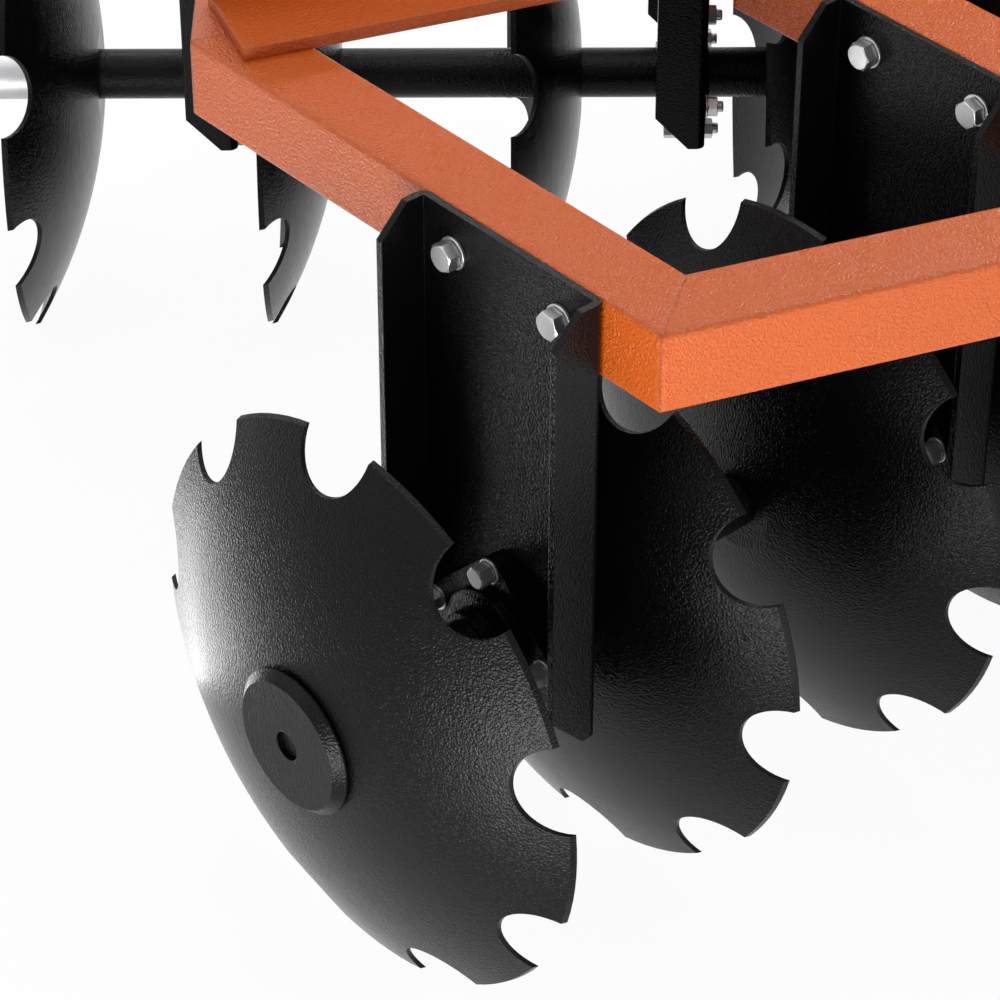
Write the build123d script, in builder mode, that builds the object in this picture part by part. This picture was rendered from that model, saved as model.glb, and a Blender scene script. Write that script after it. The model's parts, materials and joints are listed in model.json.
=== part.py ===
from build123d import *
from math import cos, radians, sin, sqrt, tan
import os

os.makedirs("parts", exist_ok=True)

# Tandem disc harrow for a three-point hitch. X is to the right, Y forward, Z up,
# and the ground is at Z = 0. All sizes are in millimetres and degrees.

# Gangs of discs
gang_angle = 20.5
discs_in_gang = 4
disc_pitch = 217.0
disc_radius = 228.6
centre_clearance = 16.5
rear_outer_place = 139.0
disc_thickness = 3.5
dish_depth = 66.0
rim_bevel_width = 1.4
rim_bevel_depth = 3.9
hub_flat_radius = 40.0
notch_count = 9
notch_radius = 35.2
notch_centre_radius = 226.7
axle_side = 25.4
axle_hole_side = 25.8
axle_nose_radius = 11.2
spool_radius = 22.5
spool_bore_radius = 18.4
collar_radius = 27.5
collar_width = 12.0
cap_bore_radius = 11.6
nose_recess = 4.0
sleeve_length = 98.0

# Frame of square tube
elbow_x = 711.0
elbow_y = -86.0
frame_top = 570.0
tube_side = 65.0
tube_wall = 5.0
tube_corner = 3.5
inner_rail_offset = 418.0
front_rail_length = 680.0
rear_rail_length = 516.0
front_axle_reach = 521.5
rear_axle_reach = 361.0

# Angle-iron cross-member on top of the elbows
cross_end_setback = 29.0
cross_width = 90.0
cross_thickness = 10.0
cross_rear_overhang = 43.0

# Folded hangers
hanger_width = 190.0
front_hanger_bottom = 195.0
rear_hanger_bottom = 185.5
hanger_plate = 6.0
hanger_flange = 45.0
top_chamfer_width = 24.0
top_chamfer_height = 24.0
foot_chamfer_width = 30.0
foot_chamfer_height = 32.0
fold_outer_radius = 8.0
hanger_hole_radius = 25.0
front_hanger_advance = 17.5
rear_hanger_advance = -4.5
tongue_margin = 4.0

# Square four-bolt flange bearings, turned so that a corner points down
bearing_side = 106.0
bearing_corner_radius = 13.0
bearing_boss_radius = 40.0
bearing_flange_thickness = 12.0
bearing_boss_end = 28.0
bearing_boss_chamfer = 3.0
running_clearance = 0.06
back_cone_base_radius = 46.0
back_cone_tip_radius = 30.0
back_cone_height = 5.0
collar_gap = 1.5

# Three-point hitch
lower_pin_shoulder_x = 341.5
lower_pin_radius = 11.1
lower_pin_length = 75.0
pin_shank_radius = 10.0
pin_shank_length = 34.0
pin_relief_width = 2.0
pin_relief_depth = 0.8
pin_collar_radius = 17.0
pin_collar_width = 8.0
lower_lug_thickness = 12.0
lower_lug_reach = 55.0
lower_lug_radius = 28.0
lug_root = 1.0
pin_fit = 0.05
mast_height = 460.0
mast_plate_thickness = 10.0
mast_root = 1.0
mast_gap = 52.0
mast_tip_radius = 32.0
mast_tip_setback = 5.0
top_link_hole_radius = 9.75
spacer_thickness = 10.0
spacer_height = 60.0
spacer_rise = 150.0
brace_depth = 50.0
brace_thickness = 10.0
brace_foot_rise = 20.0
brace_head_rise = 365.0

# Plan geometry of the left half. "way" is 1 for the front and -1 for the rear.
FRONT = 1
REAR = -1
slope = tan(radians(gang_angle))
cosine = cos(radians(gang_angle))
sine = sin(radians(gang_angle))
frame_bottom = frame_top - tube_side
lower_pin_z = frame_top - tube_side / 2
front_face = front_rail_length * cosine
rear_face = rear_rail_length * cosine
cross_half_length = elbow_x - cross_end_setback


def rail_x(offset, distance):
    """X of a rail line, "offset" in from the outer face, at a distance in Y from the elbow."""
    return -elbow_x + offset / cosine + distance * slope


def plan_points(way, corners):
    """Plan points from (offset, distance) pairs."""
    return [(rail_x(offset, distance), elbow_y + way * distance) for offset, distance in corners]


def along(way):
    """Forward direction of the rails."""
    return Vector(way * sine, cosine, 0)


def outward(way):
    """Direction of the gang axis towards the left end."""
    return Vector(-cosine, way * sine, 0)


def axle_point(way, offset, height):
    """Point of the gang axis in the outer face of a rail."""
    reach = front_axle_reach if way == FRONT else rear_axle_reach
    elbow = Vector(-elbow_x, elbow_y, height)
    return elbow + along(way) * (way * reach) - outward(way) * offset


def finish(piece, label):
    """Name the piece and write it."""
    piece.part.label = label
    export_step(piece.part, f"parts/{label}.step")


def mirrored(piece, label):
    """Write the right-hand twin of a left-hand piece."""
    with BuildPart() as twin:
        add(piece.part)
        mirror(about=Plane.YZ, mode=Mode.REPLACE)
    finish(twin, label)


def round_long_edges(part, direction):
    """Round the four long edges of a tube's outside."""
    long_edges = [edge for edge in part.edges() if abs(edge.tangent_at(0.5).dot(direction)) > 0.999]
    fillet(long_edges, radius=tube_corner)


def square_tube(outside, inside, direction):
    """Hollow tube from its plan outlines, as a builder."""
    with BuildPart() as tube:
        with BuildSketch(Plane.XY.offset(frame_bottom)):
            with BuildLine():
                Polyline(*outside, close=True)
            make_face()
        extrude(amount=tube_side)
        round_long_edges(tube.part, direction)
        with BuildSketch(Plane.XY.offset(frame_bottom + tube_wall)):
            with BuildLine():
                Polyline(*inside, close=True)
            make_face()
        extrude(amount=tube_side - 2 * tube_wall, mode=Mode.SUBTRACT)
    return tube


# Outer side rails, mitred at the elbow and at the end beam
for way, name, face in ((FRONT, "front", front_face), (REAR, "rear", rear_face)):
    inner = tube_side
    wall = tube_wall
    outer_rail = square_tube(
        plan_points(way, ((0, 0), (inner, 0), (inner, face - inner), (0, face))),
        plan_points(way, ((wall, 0), (inner - wall, 0), (inner - wall, face - inner + wall), (wall, face - wall))),
        along(way),
    )
    finish(outer_rail, f"{name}_outer_rail_left")
    mirrored(outer_rail, f"{name}_outer_rail_right")

# Inner rear rails, from the elbow to the rear beam
near_side = inner_rail_offset
far_side = inner_rail_offset + tube_side
rear_stop = rear_face - tube_side
rear_inner_rail = square_tube(
    plan_points(REAR, ((near_side, 0), (far_side, 0), (far_side, rear_stop), (near_side, rear_stop))),
    plan_points(REAR, ((near_side + tube_wall, 0), (far_side - tube_wall, 0),
                       (far_side - tube_wall, rear_stop), (near_side + tube_wall, rear_stop))),
    along(REAR),
)
finish(rear_inner_rail, "rear_inner_rail_left")
mirrored(rear_inner_rail, "rear_inner_rail_right")

# Inner front rails, which meet on the centre line before the front beam
front_stop = front_face - tube_side
whole_rail = square_tube(
    plan_points(FRONT, ((near_side, 0), (far_side, 0), (far_side, front_stop), (near_side, front_stop))),
    plan_points(FRONT, ((near_side + tube_wall, 0), (far_side - tube_wall, 0),
                        (far_side - tube_wall, front_stop), (near_side + tube_wall, front_stop))),
    along(FRONT),
)
with BuildPart() as front_inner_rail:
    add(whole_rail.part)
    split(bisect_by=Plane.YZ, keep=Keep.BOTTOM)
finish(front_inner_rail, "front_inner_rail_left")
mirrored(front_inner_rail, "front_inner_rail_right")

# End beams across the harrow
for way, name, face in ((FRONT, "front", front_face), (REAR, "rear", rear_face)):
    outlines = []
    for skin in (0, tube_wall):
        left = plan_points(way, ((skin, face - skin), (tube_side - skin, face - tube_side + skin)))
        right = [(-x, y) for x, y in reversed(left)]
        outlines.append(left + right)
    beam = square_tube(outlines[0], outlines[1], Vector(1, 0, 0))
    finish(beam, f"{name}_beam")

# Cross-member over the elbows
with BuildPart() as cross_member:
    with BuildSketch(Plane.YZ.offset(-cross_half_length)):
        with Locations((elbow_y - cross_rear_overhang, frame_top)):
            Rectangle(cross_width, cross_thickness, align=(Align.MIN, Align.MIN))
        with Locations((elbow_y - cross_rear_overhang + cross_width, frame_top)):
            Rectangle(cross_thickness, cross_width, align=(Align.MAX, Align.MIN))
    extrude(amount=2 * cross_half_length)
finish(cross_member, "cross_member")


def rail_face_plane(way, offset, height):
    """Plane in a rail's outer face at the gang axis: X forward along the rail, normal outward."""
    return Plane(axle_point(way, offset, height), x_dir=along(way), z_dir=outward(way))


# The four hangers of each side, two to a gang, and their flange bearings.
# Columns: way, name, the channel's advance before the axle, height of its lower end
axle_height = disc_radius
hanger_rows = (
    (FRONT, "front", front_hanger_advance, front_hanger_bottom),
    (REAR, "rear", rear_hanger_advance, rear_hanger_bottom),
)
for way, name, advance, bottom in hanger_rows:
    height = frame_top - bottom
    tongue_side = bearing_side + 2 * tongue_margin
    with BuildPart() as hangers:
        for offset in (0, inner_rail_offset):
            middle = axle_point(way, offset, bottom) + along(way) * advance
            with BuildSketch(Plane(middle, x_dir=along(way), z_dir=(0, 0, 1))) as channel:
                Rectangle(hanger_width, hanger_flange, align=(Align.CENTER, Align.MIN))
                fillet(channel.vertices().group_by(Axis.Y)[0], radius=fold_outer_radius)
                with Locations((0, hanger_plate)):
                    Rectangle(hanger_width - 2 * hanger_plate, hanger_flange, align=(Align.CENTER, Align.MIN),
                              mode=Mode.SUBTRACT)
            extrude(amount=height)
            with BuildSketch(Plane(middle, x_dir=outward(way), z_dir=along(way))):
                for edge_height, inward_z, width, rise in (
                    (0, 1, foot_chamfer_width, foot_chamfer_height),
                    (height, -1, top_chamfer_width, top_chamfer_height),
                ):
                    with BuildLine():
                        Polyline(
                            (hanger_flange, edge_height),
                            (hanger_flange - width, edge_height),
                            (hanger_flange, edge_height + inward_z * rise),
                            close=True,
                        )
                    make_face()
            extrude(amount=hanger_width / 2, both=True, mode=Mode.SUBTRACT)
            with BuildSketch(rail_face_plane(way, offset, axle_height)) as tongue:
                Rectangle(tongue_side, tongue_side, rotation=45)
                fillet(tongue.vertices(), radius=bearing_corner_radius + tongue_margin)
            extrude(amount=hanger_plate)
            with BuildSketch(rail_face_plane(way, offset, axle_height)):
                Circle(hanger_hole_radius)
            extrude(amount=hanger_plate, mode=Mode.SUBTRACT)
    finish(hangers, f"{name}_hangers_left")
    mirrored(hangers, f"{name}_hangers_right")

    bore = spool_radius + running_clearance
    with BuildPart() as bearings:
        for offset in (0, inner_rail_offset):
            web = rail_face_plane(way, offset, axle_height)
            with BuildSketch(web.offset(hanger_plate)) as flange:
                Rectangle(bearing_side, bearing_side, rotation=45)
                fillet(flange.vertices(), radius=bearing_corner_radius)
            extrude(amount=bearing_flange_thickness)
            with BuildSketch(web.offset(hanger_plate)):
                Circle(bearing_boss_radius)
            extrude(amount=bearing_boss_end - hanger_plate)
            boss_rim = bearings.faces().sort_by(Axis(web.origin, web.z_dir))[-1].edges()
            chamfer(boss_rim, length=bearing_boss_chamfer)
            with BuildSketch(web.offset(hanger_plate)):
                Circle(bore)
            extrude(amount=bearing_boss_end - hanger_plate, mode=Mode.SUBTRACT)
            with BuildSketch(web):
                Circle(back_cone_base_radius)
            with BuildSketch(web.offset(-back_cone_height)):
                Circle(back_cone_tip_radius)
            loft()
            with BuildSketch(web):
                Circle(hanger_hole_radius)
            extrude(amount=-back_cone_height, mode=Mode.SUBTRACT)
    finish(bearings, f"{name}_bearings_left")
    mirrored(bearings, f"{name}_bearings_right")

# Disc profile. The sphere through the hub and the rim's convex edge sets its curve.
edge_radius = disc_radius - rim_bevel_width
edge_depth = dish_depth - rim_bevel_depth
outer_sphere = (edge_radius ** 2 + edge_depth ** 2) / (2 * edge_depth)
inner_sphere = outer_sphere - disc_thickness
sphere_centre = outer_sphere - dish_depth


def sphere_height(sphere, radius):
    """Height of the dished surface at a radius, from the rim plane towards the concave side."""
    return sphere_centre - sqrt(sphere ** 2 - radius ** 2)


hub_back = sphere_height(outer_sphere, hub_flat_radius)
hub_front = sphere_height(inner_sphere, hub_flat_radius)
hub_thickness = hub_front - hub_back
last_disc = (discs_in_gang - 1) * disc_pitch

# Places of the outer rails' faces along the axle, counted from the first disc's rim towards its
# concave side. The first disc is the outermost at the rear and the innermost at the front.
front_outer_place = (elbow_x - centre_clearance - sine * (front_axle_reach + disc_radius)) / cosine
rear_places = (rear_outer_place, rear_outer_place + inner_rail_offset)
front_places = (front_outer_place, front_outer_place - inner_rail_offset)

# Gangs: convex side, turn of each disc's notches, cap radius and thickness, places of the rails
gangs = (
    (REAR, "rear", (5.0, 25.0, 25.0, 5.0), 58.5, 9.0, rear_places),
    (FRONT, "front", (14.0, 34.0, 34.0, 34.0), 30.0, 5.0, front_places),
)
for way, name, notch_turns, cap_radius, cap_thickness, rail_places in gangs:
    concave = outward(way) * way
    rail_point = axle_point(way, 0, axle_height)
    start = rail_point - concave * rail_places[0]
    axis = Axis(start, concave)

    def across(place):
        """Plane across the axle at a place, X forward, normal to the concave side."""
        return Plane(start + concave * place, x_dir=along(way), z_dir=concave)

    def lengthwise(place):
        """Plane through the axle: X out from it, Y along it to the concave side."""
        normal = along(way).cross(concave)
        return Plane(start + concave * place, x_dir=along(way), z_dir=normal)

    # Discs
    with BuildPart() as discs:
        for number, turn in enumerate(notch_turns):
            place = number * disc_pitch
            with BuildSketch(lengthwise(place)):
                with BuildLine():
                    middle = (hub_flat_radius + edge_radius) / 2
                    Line((0, hub_back), (hub_flat_radius, hub_back))
                    ThreePointArc(
                        (hub_flat_radius, hub_back),
                        (middle, sphere_height(outer_sphere, middle)),
                        (edge_radius, -rim_bevel_depth),
                    )
                    Line((edge_radius, -rim_bevel_depth), (disc_radius, sphere_height(inner_sphere, disc_radius)))
                    ThreePointArc(
                        (disc_radius, sphere_height(inner_sphere, disc_radius)),
                        (middle, sphere_height(inner_sphere, middle)),
                        (hub_flat_radius, hub_front),
                    )
                    Line((hub_flat_radius, hub_front), (0, hub_front))
                    Line((0, hub_front), (0, hub_back))
                make_face()
            revolve(axis=axis)
            with BuildSketch(across(place - dish_depth)):
                with PolarLocations(notch_centre_radius, notch_count, start_angle=-way * turn):
                    Circle(notch_radius)
                Rectangle(axle_hole_side, axle_hole_side)
            extrude(amount=dish_depth + disc_thickness, mode=Mode.SUBTRACT)
    finish(discs, f"{name}_discs_left")
    mirrored(discs, f"{name}_discs_right")

    # Spools between the discs, with a locking collar beside each bearing
    with BuildPart() as spools:
        for number in range(discs_in_gang - 1):
            with BuildSketch(across(number * disc_pitch + hub_front)):
                Circle(spool_radius)
            extrude(amount=disc_pitch - hub_thickness)
        for place in rail_places:
            gap = bearing_boss_end + collar_gap
            collar_start = place + gap if way == FRONT else place - gap - collar_width
            with BuildSketch(across(collar_start)):
                Circle(collar_radius)
            extrude(amount=collar_width)
        with BuildSketch(across(hub_front)):
            Circle(spool_bore_radius)
        extrude(amount=last_disc, mode=Mode.SUBTRACT)
    finish(spools, f"{name}_spools_left")
    mirrored(spools, f"{name}_spools_right")

    # End cap on the convex side
    cap_face = hub_back - cap_thickness
    with BuildPart() as cap:
        with BuildSketch(across(hub_back)):
            Circle(cap_radius)
        extrude(amount=-cap_thickness)
        chamfer(cap.edges().filter_by(GeomType.CIRCLE).sort_by(axis)[0], length=cap_thickness * 0.8)
        with BuildSketch(across(hub_back)):
            Circle(cap_bore_radius)
        extrude(amount=-cap_thickness, mode=Mode.SUBTRACT)
    finish(cap, f"{name}_end_cap_left")
    mirrored(cap, f"{name}_end_cap_right")

    # End sleeve on the concave side
    sleeve_end = last_disc + hub_front + sleeve_length
    with BuildPart() as sleeve:
        with BuildSketch(across(last_disc + hub_front)):
            Circle(spool_radius)
            Circle(spool_bore_radius, mode=Mode.SUBTRACT)
        extrude(amount=sleeve_length)
    finish(sleeve, f"{name}_end_sleeve_left")
    mirrored(sleeve, f"{name}_end_sleeve_right")

    # Square axle with a round nose in the end cap
    with BuildPart() as axle:
        with BuildSketch(across(hub_back)):
            Rectangle(axle_side, axle_side)
        extrude(amount=sleeve_end - hub_back)
        with BuildSketch(across(hub_back)):
            Circle(axle_nose_radius)
        extrude(amount=-(cap_thickness - nose_recess))
    finish(axle, f"{name}_axle_left")
    mirrored(axle, f"{name}_axle_right")

# Lower hitch lugs, and pins with a collar, a relief groove beside it and a shank in the lug
hitch_face = elbow_y + front_face
pin_y = hitch_face + lower_lug_reach
lug_face = lower_pin_shoulder_x - pin_collar_width
with BuildPart() as lower_lugs:
    with BuildSketch(Plane.YZ.offset(lug_face - lower_lug_thickness)):
        with Locations((hitch_face, frame_bottom)):
            Rectangle(lug_root, tube_side, align=(Align.MIN, Align.MIN))
        with Locations((pin_y, lower_pin_z)):
            Circle(lower_lug_radius)
        make_hull()
        with Locations((pin_y, lower_pin_z)):
            Circle(pin_shank_radius + pin_fit, mode=Mode.SUBTRACT)
    extrude(amount=lower_lug_thickness)
    mirror(about=Plane.YZ)
finish(lower_lugs, "lower_hitch_lugs")

# Columns: radius, first end and second end in X
pin_sections = (
    (pin_shank_radius, lug_face - pin_shank_length, lug_face),
    (pin_collar_radius, lug_face, lower_pin_shoulder_x),
    (lower_pin_radius - pin_relief_depth, lower_pin_shoulder_x, lower_pin_shoulder_x + pin_relief_width),
    (lower_pin_radius, lower_pin_shoulder_x + pin_relief_width, lower_pin_shoulder_x + lower_pin_length),
)
with BuildPart() as lower_pins:
    for radius, first_end, second_end in pin_sections:
        with BuildSketch(Plane.YZ.offset(first_end)):
            with Locations((pin_y, lower_pin_z)):
                Circle(radius)
        extrude(amount=second_end - first_end)
    mirror(about=Plane.YZ)
finish(lower_pins, "lower_hitch_pins")

# Mast: two plates with the top link's hole, and a spacer between them
top_link_z = lower_pin_z + mast_height
top_link_y = hitch_face - mast_tip_setback
with BuildPart() as mast_plates:
    with BuildSketch(Plane.YZ.offset(mast_gap / 2)):
        with Locations((hitch_face, frame_top)):
            Rectangle(tube_side, mast_root, align=(Align.MAX, Align.MIN))
        with Locations((top_link_y, top_link_z)):
            Circle(mast_tip_radius)
        make_hull()
        with Locations((top_link_y, top_link_z)):
            Circle(top_link_hole_radius, mode=Mode.SUBTRACT)
    extrude(amount=mast_plate_thickness)
    mirror(about=Plane.YZ)
finish(mast_plates, "mast_plates")

with BuildPart() as mast_spacer:
    with BuildSketch(Plane.XY.offset(frame_top + spacer_rise)):
        with Locations((0, hitch_face - tube_side / 2)):
            Rectangle(mast_gap, spacer_thickness)
    extrude(amount=spacer_height)
finish(mast_spacer, "mast_spacer")

# Braces from the mast back to the cross-member's upright leg
leg_face = elbow_y - cross_rear_overhang + cross_width
foot_z = frame_top + brace_foot_rise
head_z = frame_top + brace_head_rise
head_y = top_link_y + mast_tip_radius / 2
with BuildPart() as mast_braces:
    with BuildSketch(Plane.YZ.offset(mast_gap / 2 + mast_plate_thickness)):
        with BuildLine():
            Polyline(
                (leg_face, foot_z),
                (leg_face, foot_z + brace_depth),
                (head_y, head_z + brace_depth),
                (head_y, head_z),
                close=True,
            )
        make_face()
    extrude(amount=brace_thickness)
    mirror(about=Plane.YZ)
finish(mast_braces, "mast_braces")
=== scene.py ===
import bmesh
import bpy
import json
from collections import namedtuple
from math import cos, pi, radians, sin, tan
from mathutils import Matrix, Vector


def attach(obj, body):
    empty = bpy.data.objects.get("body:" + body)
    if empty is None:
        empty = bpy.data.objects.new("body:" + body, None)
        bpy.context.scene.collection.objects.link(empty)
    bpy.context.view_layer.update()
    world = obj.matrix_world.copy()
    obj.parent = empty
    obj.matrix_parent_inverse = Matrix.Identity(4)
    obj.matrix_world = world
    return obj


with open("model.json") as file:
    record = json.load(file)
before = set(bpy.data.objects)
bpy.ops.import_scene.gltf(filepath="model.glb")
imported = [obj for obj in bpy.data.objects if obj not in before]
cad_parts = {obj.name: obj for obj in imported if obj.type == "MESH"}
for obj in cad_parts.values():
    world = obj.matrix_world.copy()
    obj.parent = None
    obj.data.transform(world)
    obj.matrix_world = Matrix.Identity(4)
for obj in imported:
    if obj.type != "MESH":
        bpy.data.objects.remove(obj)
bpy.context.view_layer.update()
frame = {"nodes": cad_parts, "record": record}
nodes = frame["nodes"]
MM = 0.001

# Camera, fitted to the photograph. It stands behind the harrow, to its left and above, and
# looks forward to the right. Place, lens and sensor in millimetres, angles in degrees.
CAMERA_PLACE = (-1407.9, -2571.9, 2087.1)
CAMERA_TILT = 52.85
CAMERA_TURN = -20.82
CAMERA_LENS = 142.59
CAMERA_SENSOR = 36.0
CAMERA_REACH = 60.0  # metres

# Sizes of the CAD model that the fittings need, in millimetres
HALF_RAIL_GAP = 209.0
TUBE_SIDE = 65.0
RAIL_MIDDLE_Z = 537.5
FRAME_TOP = 570.0
HANGER_PLATE = 6.0
CHANNEL_ADVANCE = {"front": 17.5, "rear": -4.5}
BEARING_FLANGE = 12.0
BEARING_BOLT_RADIUS = 59.5
LOWER_LUG_INSIDE_X = 321.5
LOWER_LUG_OUTSIDE_X = 333.5
LOWER_PIN_Y = 605.9
FRONT_FACE_Y = 550.9
MAST_INSIDE_X = 26.0
MAST_OUTSIDE_X = 36.0

# Bolts, nuts and washers, in millimetres
BoltSize = namedtuple("BoltSize", "across_flats nut thread_radius washer_radius washer")
BOLT_SIZES = {
    "hitch": BoltSize(30.0, 16.0, 10.0, 18.0, 3.0),
    "hanger": BoltSize(20.0, 11.0, 6.5, 12.8, 2.6),
    "bearing": BoltSize(16.0, 9.0, 5.0, 10.4, 2.2),
}
HEAD_HEIGHTS = {"hanger": 11.0, "bearing": 13.0}
HANGER_BOLT_SPREAD = 56.0
BEARING_BOLTS = 4
WASHER_EDGE = 0.4
HEAD_SEAT = 0.7
HEAD_SEAT_SHARE = 0.44  # radius of the seat under a head, of the size across flats
CROWN_SHARE = 0.96  # radius of the flat crown, of the radius to a flat
CROWN_ANGLE = 30.0
THREAD_END = 4.0
THREAD_POINT = 1.2

# Turns of the hexagons in degrees, so that neighbours differ: the first one, the step to the
# next, the step from the middle to either rail, and the step from a head to its nut
HANGER_TURNS = (17.0, 25.0, 8.0, 11.0)
BEARING_TURNS = (9.0, 23.0, 0.0, 15.0)

# Weld beads, in millimetres
BEAD_RADIUS = 3.0
BEAD_RIPPLE = 0.35
BEAD_STEP = 1.0
BEAD_TIP = 1.2
BEAD_INSET = 4.0
STEPS_IN_RIPPLE = 4

# Meshes
SEGMENTS = 48
SHARP_ANGLE = 24.0

# Floor and world
FLOOR_SIZE = 40.0
FLOOR_DROP = 0.0005
FLOOR_COLOR = 0.85
FLOOR_GLOW = 0.95  # share of plain white that a seen ray gets from the floor
WORLD_LIGHT = 0.40
LAMPS = (
    # name, place, point aimed at, turn in degrees, width and height in metres, radiance
    ("edge_floor", (-0.97, 0.01, 0.012), (-0.97, 0.01, 1.0), 15.0, 0.26, 0.42, 3.9),
    ("edge_rear", (-1.05, -0.91, 0.140), (-0.66, -0.66, 0.32), 0.0, 0.24, 0.25, 12.0),
    ("left_rear", (-1.95, -1.60, 0.012), (-1.95, -1.60, 1.0), 18.0, 1.8, 0.8, 8.4),
    ("near", (-1.20, -1.10, 0.012), (-1.20, -1.10, 1.0), 18.0, 0.8, 0.4, 3.0),
    ("rear", (-0.40, -1.60, 0.012), (-0.40, -1.60, 1.0), 0.0, 1.6, 1.0, 3.6),
    ("rear_wall", (0.55, -3.10, 0.46), (-0.40, -0.69, 0.54), 0.0, 2.4, 0.35, 6.0),
    ("left", (-3.2, 0.0, 2.4), (-0.4, -0.1, 0.4), 0.0, 2.4, 1.6, 1.4),
    ("right", (3.32, 1.21, 1.88), (0.0, 0.0, 0.4), 0.0, 2.4, 1.6, 10.0),
    ("above", (0.2, 0.3, 3.8), (0.2, 0.3, 0.0), 0.0, 3.0, 3.0, 1.8),
    ("back", (-0.20, 3.17, 3.10), (-0.55, -0.40, 0.57), 0.0, 2.6, 0.26, 24.0),
)


def make_camera():
    data = bpy.data.cameras.new("camera")
    data.sensor_width = CAMERA_SENSOR
    data.lens = CAMERA_LENS
    data.clip_end = CAMERA_REACH
    camera = bpy.data.objects.new("camera", data)
    camera.location = [value * MM for value in CAMERA_PLACE]
    camera.rotation_euler = (radians(CAMERA_TILT), 0.0, radians(CAMERA_TURN))
    bpy.context.collection.objects.link(camera)
    bpy.context.scene.camera = camera


class Nodes:
    """A material's node tree, with short ways to add nodes and links."""

    def __init__(self, name):
        self.material = bpy.data.materials.new(name)
        self.material.use_nodes = True
        self.tree = self.material.node_tree
        self.tree.nodes.clear()
        self.output = self.add("ShaderNodeOutputMaterial")

    def add(self, kind, **inputs):
        """A node, its inputs set by name with _ for a space."""
        node = self.tree.nodes.new(kind)
        for key, value in inputs.items():
            node.inputs[key.replace("_", " ")].default_value = value
        return node

    def link(self, start, end):
        self.tree.links.new(start, end)

    def noise(self, scale, detail=3.0, roughness=0.5, distortion=0.0):
        """Noise in the object's own space, its scale in cells to a metre."""
        place = self.add("ShaderNodeTexCoord").outputs["Object"]
        node = self.add(
            "ShaderNodeTexNoise",
            Scale=scale,
            Detail=detail,
            Roughness=roughness,
            Distortion=distortion,
        )
        self.link(place, node.inputs["Vector"])
        return node.outputs["Fac"]

    def spread(self, value, low, high):
        """A value from 0 to 1, spread from low to high."""
        node = self.add("ShaderNodeMapRange", To_Min=low, To_Max=high)
        self.link(value, node.inputs["Value"])
        return node.outputs["Result"]

    def mix_colors(self, factor, first, second):
        node = self.add("ShaderNodeMix")
        node.data_type = "RGBA"
        color_a, color_b = (socket for socket in node.inputs if socket.type == "RGBA")
        color_a.default_value = (*first, 1.0)
        color_b.default_value = (*second, 1.0)
        self.link(factor, node.inputs["Factor"])
        return next(socket for socket in node.outputs if socket.type == "RGBA")

    def soft_edges(self, radius):
        node = self.add("ShaderNodeBevel", Radius=radius)
        node.samples = 4
        return node.outputs["Normal"]

    def bump(self, height, strength, distance, normal):
        node = self.add("ShaderNodeBump", Strength=strength, Distance=distance)
        self.link(height, node.inputs["Height"])
        self.link(normal, node.inputs["Normal"])
        return node.outputs["Normal"]

    def shader(self, color, roughness, normal, metallic=0.0, specular=0.5):
        node = self.add("ShaderNodeBsdfPrincipled", Metallic=metallic, Specular_IOR_Level=specular)
        self.link(color, node.inputs["Base Color"])
        self.link(roughness, node.inputs["Roughness"])
        self.link(normal, node.inputs["Normal"])
        self.link(node.outputs["BSDF"], self.output.inputs["Surface"])


def textured_paint(name, color, shade, roughness, grain, relief, specular, edge):
    """Powder-coat paint with a leathery grain, on edges that are a little round.

    The grain is in cells to a metre, and the relief and the edge's radius are in metres.
    """
    tone_scale = 11.0
    gloss_scale = 40.0
    gloss_change = 0.03
    made = Nodes(name)
    tone = made.mix_colors(made.noise(tone_scale), color, shade)
    grains = made.noise(grain, detail=2.0, roughness=0.45, distortion=0.2)
    normal = made.bump(grains, 1.0, relief, made.soft_edges(edge))
    rough = made.spread(
        made.noise(gloss_scale), roughness - gloss_change, roughness + gloss_change
    )
    made.shader(tone, rough, normal, specular=specular)
    return made.material


def fine_steel(name, color, shade, roughness):
    """Zinc-plated or turned steel with fine grain."""
    tone_scale = 90.0
    gloss_scale = 160.0
    gloss_change = 0.06
    grain = 1400.0
    relief = 0.00008
    strength = 0.3
    edge = 0.0004
    made = Nodes(name)
    tone = made.mix_colors(made.noise(tone_scale), color, shade)
    normal = made.bump(made.noise(grain), strength, relief, made.soft_edges(edge))
    rough = made.spread(
        made.noise(gloss_scale), roughness - gloss_change, roughness + gloss_change
    )
    made.shader(tone, rough, normal, metallic=1.0)
    return made.material


ORANGE_TONES = {"color": (0.53, 0.092, 0.006), "shade": (0.50, 0.084, 0.005)}
BLACK_TONES = {"color": (0.0020, 0.0020, 0.0020), "shade": (0.0028, 0.0028, 0.0028)}
STEEL_TONES = {"color": (0.58, 0.58, 0.59), "shade": (0.46, 0.46, 0.47)}
MATERIALS = {
    "orange_paint": textured_paint(
        "orange_paint",
        **ORANGE_TONES,
        roughness=0.10,
        grain=460.0,
        relief=0.0020,
        specular=0.28,
        edge=0.0050,
    ),
    "orange_weld": textured_paint(
        "orange_weld",
        **ORANGE_TONES,
        roughness=0.16,
        grain=460.0,
        relief=0.0006,
        specular=0.28,
        edge=0.0005,
    ),
    "black_paint": textured_paint(
        "black_paint",
        **BLACK_TONES,
        roughness=0.18,
        grain=540.0,
        relief=0.00072,
        specular=0.105,
        edge=0.0010,
    ),
    "bare_steel": fine_steel("bare_steel", **STEEL_TONES, roughness=0.40),
}


def dress_cad():
    """Every CAD node takes the material of its slot."""
    for entry in frame["record"]["subparts"]:
        data = nodes[entry["node"]].data
        data.materials.clear()
        data.materials.append(MATERIALS[entry["material_slot"]])


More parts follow.
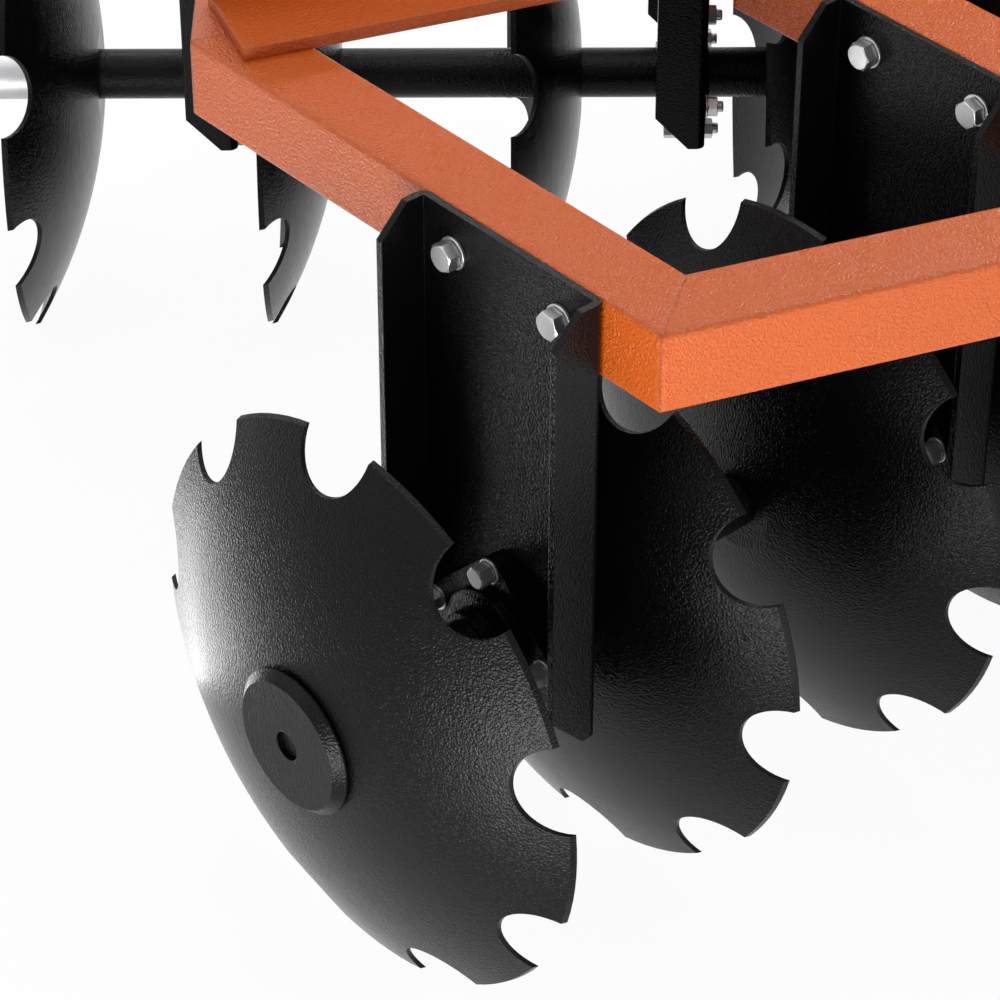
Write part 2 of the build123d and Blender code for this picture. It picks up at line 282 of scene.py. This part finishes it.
def hex_reach(angle, across_flats):
    """Distance from a hexagon's centre to its side at an angle."""
    turned = (angle + pi / 6) % (pi / 3) - pi / 6
    return across_flats / 2 / cos(turned)


def seat(point, direction, spin=0.0):
    """Matrix that stands a fitting on a point in metres, its axis along a direction."""
    turn = direction.to_track_quat("Z", "Y").to_matrix().to_4x4()
    return Matrix.Translation(point) @ turn @ Matrix.Rotation(radians(spin), 4, "Z")


class Fittings:
    """Fasteners or weld beads that ride on the frame, gathered in one mesh."""

    def __init__(self, name, slot="bare_steel", material="bare_steel"):
        self.name = name
        self.slot = slot
        self.material = material
        self.mesh = bmesh.new()

    def rings(self, matrix, rings):
        """Closed skin through rings of (reach, height) functions of the angle, ends filled."""
        rows = []
        for reach, height in rings:
            row = []
            for step in range(SEGMENTS):
                angle = 2 * pi * step / SEGMENTS
                radius = reach(angle) * MM
                point = Vector((radius * cos(angle), radius * sin(angle), height(angle) * MM))
                row.append(self.mesh.verts.new(matrix @ point))
            rows.append(row)
        for lower, upper in zip(rows, rows[1:]):
            for step in range(SEGMENTS):
                after = (step + 1) % SEGMENTS
                self.mesh.faces.new((lower[step], lower[after], upper[after], upper[step]))
        self.mesh.faces.new(list(reversed(rows[0])))
        self.mesh.faces.new(rows[-1])

    def turned(self, matrix, profile):
        """A turned piece from (radius, height) pairs."""
        self.rings(matrix, [
            (lambda angle, r=radius: r, lambda angle, h=height: h) for radius, height in profile
        ])

    def hexagon(self, matrix, across_flats, start, end, both_crowns=False):
        """A hexagon between two heights, its corners turned off at one end or both."""
        crown = across_flats / 2 * CROWN_SHARE

        def side(angle):
            return hex_reach(angle, across_flats)

        def drop(angle):
            return (side(angle) - crown) * tan(radians(CROWN_ANGLE))

        rings = [(side, lambda angle: start)]
        if both_crowns:
            rings = [
                (lambda angle: crown, lambda angle: start),
                (side, lambda angle: start + drop(angle)),
            ]
        rings += [
            (side, lambda angle: end - drop(angle)),
            (lambda angle: crown, lambda angle: end),
        ]
        self.rings(matrix, rings)

    def washer(self, matrix, radius, thickness):
        self.turned(matrix, (
            (radius - WASHER_EDGE, 0.0),
            (radius, WASHER_EDGE),
            (radius, thickness - WASHER_EDGE),
            (radius - WASHER_EDGE, thickness),
        ))

    def bolt_head(self, matrix, size):
        """Head on its washer, standing on the plane of the matrix."""
        bolt = BOLT_SIZES[size]
        seat_radius = bolt.across_flats * HEAD_SEAT_SHARE
        seat_top = bolt.washer + HEAD_SEAT
        self.washer(matrix, bolt.washer_radius, bolt.washer)
        self.turned(matrix, ((seat_radius, bolt.washer), (seat_radius, seat_top)))
        self.hexagon(matrix, bolt.across_flats, seat_top, bolt.washer + HEAD_HEIGHTS[size])

    def nut_end(self, matrix, size):
        """Nut on its washer, with the thread's end."""
        bolt = BOLT_SIZES[size]
        nut_top = bolt.washer + bolt.nut
        thread_end = nut_top + THREAD_END
        self.washer(matrix, bolt.washer_radius, bolt.washer)
        self.hexagon(matrix, bolt.across_flats, bolt.washer, nut_top, both_crowns=True)
        self.turned(matrix, (
            (bolt.thread_radius, nut_top),
            (bolt.thread_radius, thread_end),
            (bolt.thread_radius - THREAD_POINT, thread_end + THREAD_POINT),
        ))

    def bead(self, start, end):
        """Weld bead from one point to another, in millimetres, with its ripples."""
        start = Vector(start)
        run = Vector(end) - start
        steps = round(run.length / BEAD_STEP)
        profile = [(BEAD_TIP, 0.0)]
        for step in range(1, steps):
            ripple = BEAD_RIPPLE * sin(2 * pi * step / STEPS_IN_RIPPLE)
            profile.append((BEAD_RADIUS + ripple, run.length * step / steps))
        profile.append((BEAD_TIP, run.length))
        self.turned(seat(start * MM, run), profile)

    def finish(self):
        data = bpy.data.meshes.new(self.name)
        bmesh.ops.recalc_face_normals(self.mesh, faces=self.mesh.faces)
        self.mesh.to_mesh(data)
        self.mesh.free()
        data.shade_smooth()
        data.set_sharp_from_angle(angle=radians(SHARP_ANGLE))
        data.materials.append(MATERIALS[self.material])
        piece = bpy.data.objects.new(self.name, data)
        bpy.context.collection.objects.link(piece)
        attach(piece, "frame")


class Gang:
    """Directions and places of one gang, from its joint in the record."""

    def __init__(self, joint):
        self.row, _, self.side = joint["child"].split("_")
        self.centre = Vector(joint["pos_m"])
        self.outward = Vector(joint["axis"])
        sign = -1 if self.side == "left" else 1
        self.forward = Vector((-sign * self.outward.y, sign * self.outward.x, 0.0))

    def place(self, rail, out, forward, z):
        """Point by the outer (1) or inner (-1) rail, in metres.

        It lies out from the rail's outer face and forward of the axle, at a height, all in
        millimetres.
        """
        along = rail * HALF_RAIL_GAP + out
        point = self.centre + self.outward * along * MM + self.forward * forward * MM
        point.z = z * MM
        return point


def bolt_and_nut(fittings, gang, size, turn, places):
    """Head and nut of one bolt at two places, the head facing out and the nut in."""
    head_place, nut_place = places
    head_turn, nut_step = turn
    fittings.bolt_head(seat(head_place, gang.outward, head_turn), size)
    fittings.nut_end(seat(nut_place, -gang.outward, head_turn + nut_step), size)


def fit_hanger_fasteners(gang):
    """Two bolts through each hanger and its rail, and four through each bearing."""
    label = f"{gang.row}_{gang.side}"
    hanger_bolts = Fittings(f"hanger_bolts_{label}")
    bearing_bolts = Fittings(f"bearing_bolts_{label}")
    for rail in (1, -1):
        first, step, rail_step, nut_step = HANGER_TURNS
        for number, across in enumerate((-HANGER_BOLT_SPREAD, HANGER_BOLT_SPREAD)):
            forward = CHANNEL_ADVANCE[gang.row] + across
            turn = (first + step * number + rail_step * rail, nut_step)
            head = gang.place(rail, HANGER_PLATE, forward, RAIL_MIDDLE_Z)
            nut = gang.place(rail, -TUBE_SIDE, forward, RAIL_MIDDLE_Z)
            bolt_and_nut(hanger_bolts, gang, "hanger", turn, (head, nut))
        first, step, rail_step, nut_step = BEARING_TURNS
        for number in range(BEARING_BOLTS):
            angle = 2 * pi * number / BEARING_BOLTS
            forward = BEARING_BOLT_RADIUS * cos(angle)
            height = gang.centre.z / MM + BEARING_BOLT_RADIUS * sin(angle)
            turn = (first + step * number + rail_step * rail, nut_step)
            head = gang.place(rail, HANGER_PLATE + BEARING_FLANGE, forward, height)
            nut = gang.place(rail, 0.0, forward, height)
            bolt_and_nut(bearing_bolts, gang, "bearing", turn, (head, nut))
    hanger_bolts.finish()
    bearing_bolts.finish()


def fit_hitch_nuts():
    """A nut on each lower hitch pin, inside its lug."""
    nuts = Fittings("hitch_nuts")
    for side in (-1.0, 1.0):
        point = Vector((side * LOWER_LUG_INSIDE_X, LOWER_PIN_Y, RAIL_MIDDLE_Z)) * MM
        nuts.nut_end(seat(point, Vector((-side, 0.0, 0.0))), "hitch")
    nuts.finish()


def weld_hitch():
    """Beads where the lower lugs meet the front beam's face, and the mast plates its top."""
    beam_bottom = FRAME_TOP - TUBE_SIDE
    beam_rear = FRONT_FACE_Y - TUBE_SIDE
    welds = Fittings("hitch_welds", "orange_paint", "orange_weld")
    for side in (-1.0, 1.0):
        for x in (side * LOWER_LUG_INSIDE_X, side * LOWER_LUG_OUTSIDE_X):
            low = (x, FRONT_FACE_Y, beam_bottom + BEAD_INSET)
            high = (x, FRONT_FACE_Y, FRAME_TOP - BEAD_INSET)
            welds.bead(low, high)
        for x in (side * MAST_INSIDE_X, side * MAST_OUTSIDE_X):
            rear = (x, beam_rear + BEAD_INSET, FRAME_TOP)
            front = (x, FRONT_FACE_Y - BEAD_INSET, FRAME_TOP)
            welds.bead(rear, front)
    welds.finish()


def seen_ray(tree):
    """1 for a ray seen directly, in a reflection or through glass, and 0 for the others."""
    path = tree.nodes.new("ShaderNodeLightPath")
    value = path.outputs["Is Camera Ray"]
    for kind in ("Is Glossy Ray", "Is Transmission Ray"):
        larger = tree.nodes.new("ShaderNodeMath")
        larger.operation = "MAXIMUM"
        tree.links.new(value, larger.inputs[0])
        tree.links.new(path.outputs[kind], larger.inputs[1])
        value = larger.outputs[0]
    return value


def make_floor():
    """Pale floor, nearly white to a seen ray, that keeps the harrow's shadow."""
    bpy.ops.mesh.primitive_plane_add(size=FLOOR_SIZE, location=(0.0, 0.0, -FLOOR_DROP))
    floor = bpy.context.object
    floor.name = "floor"
    made = Nodes("floor")
    bright = made.add("ShaderNodeEmission", Color=(1.0, 1.0, 1.0, 1.0), Strength=1.0)
    pale = (FLOOR_COLOR, FLOOR_COLOR, FLOOR_COLOR, 1.0)
    plain = made.add("ShaderNodeBsdfDiffuse", Color=pale)
    mix = made.add("ShaderNodeMixShader")
    made.link(made.spread(seen_ray(made.tree), 0.0, FLOOR_GLOW), mix.inputs["Fac"])
    made.link(plain.outputs["BSDF"], mix.inputs[1])
    made.link(bright.outputs["Emission"], mix.inputs[2])
    made.link(mix.outputs["Shader"], made.output.inputs["Surface"])
    floor.data.materials.append(made.material)


def make_world():
    """White for the camera and for reflections, softer as a light."""
    world = bpy.data.worlds.new("studio")
    bpy.context.scene.world = world
    world.use_nodes = True
    tree = world.node_tree
    back = tree.nodes["Background"]
    back.inputs["Color"].default_value = (1.0, 1.0, 1.0, 1.0)
    strength = tree.nodes.new("ShaderNodeMapRange")
    strength.inputs["To Min"].default_value = WORLD_LIGHT
    strength.inputs["To Max"].default_value = 1.0
    tree.links.new(seen_ray(tree), strength.inputs["Value"])
    tree.links.new(strength.outputs["Result"], back.inputs["Strength"])


def make_lights():
    """Area lamps. A lamp's energy is its radiance times pi and its area."""
    for name, place, target, turn, width, height, radiance in LAMPS:
        data = bpy.data.lights.new(name, "AREA")
        data.shape = "RECTANGLE"
        data.size = width
        data.size_y = height
        data.energy = radiance * pi * width * height
        lamp = bpy.data.objects.new(name, data)
        direction = Vector(target) - Vector(place)
        aim = direction.to_track_quat("-Z", "Y").to_matrix().to_4x4()
        roll = Matrix.Rotation(radians(turn), 4, direction)
        lamp.matrix_world = Matrix.Translation(place) @ roll @ aim
        lamp.visible_camera = False
        bpy.context.collection.objects.link(lamp)


bpy.context.scene.view_settings.view_transform = "Standard"
make_camera()
dress_cad()
for joint in frame["record"]["behaviour"]["joints"]:
    fit_hanger_fasteners(Gang(joint))
fit_hitch_nuts()
weld_hitch()
make_floor()
make_world()
make_lights()
